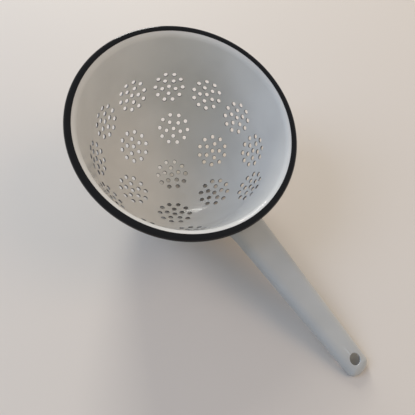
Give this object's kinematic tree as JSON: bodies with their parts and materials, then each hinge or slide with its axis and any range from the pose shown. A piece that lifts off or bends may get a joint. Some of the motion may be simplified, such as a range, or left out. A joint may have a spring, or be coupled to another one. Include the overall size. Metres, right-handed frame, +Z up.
{
  "type": "enamel strainer",
  "caption": "Deep round-bottomed enamel bowl, perforated in rosettes, with a black rolled rim and one straight channel handle with a hanging hole.",
  "frame": {"origin": "on the table plane, under the middle of the overall box", "axes": "+X from the bowl towards the end of the handle, +Z up from the table, +Y to the left of the handle as seen from the bowl; stored as it rests, on the round bottom and the end of the handle"},
  "size_m": [0.262, 0.16, 0.1181],
  "materials": {
    "white_enamel": "glossy fired enamel, pale grey-white",
    "black_enamel": "glossy fired enamel, black",
    "weld_metal": "spot weld covered by enamel"
  },
  "bodies": {
    "root": {"bowl": "white_enamel", "rim_trim": "black_enamel", "handle": "white_enamel", "handle_welds": "weld_metal"}
  },
  "joints": []
}
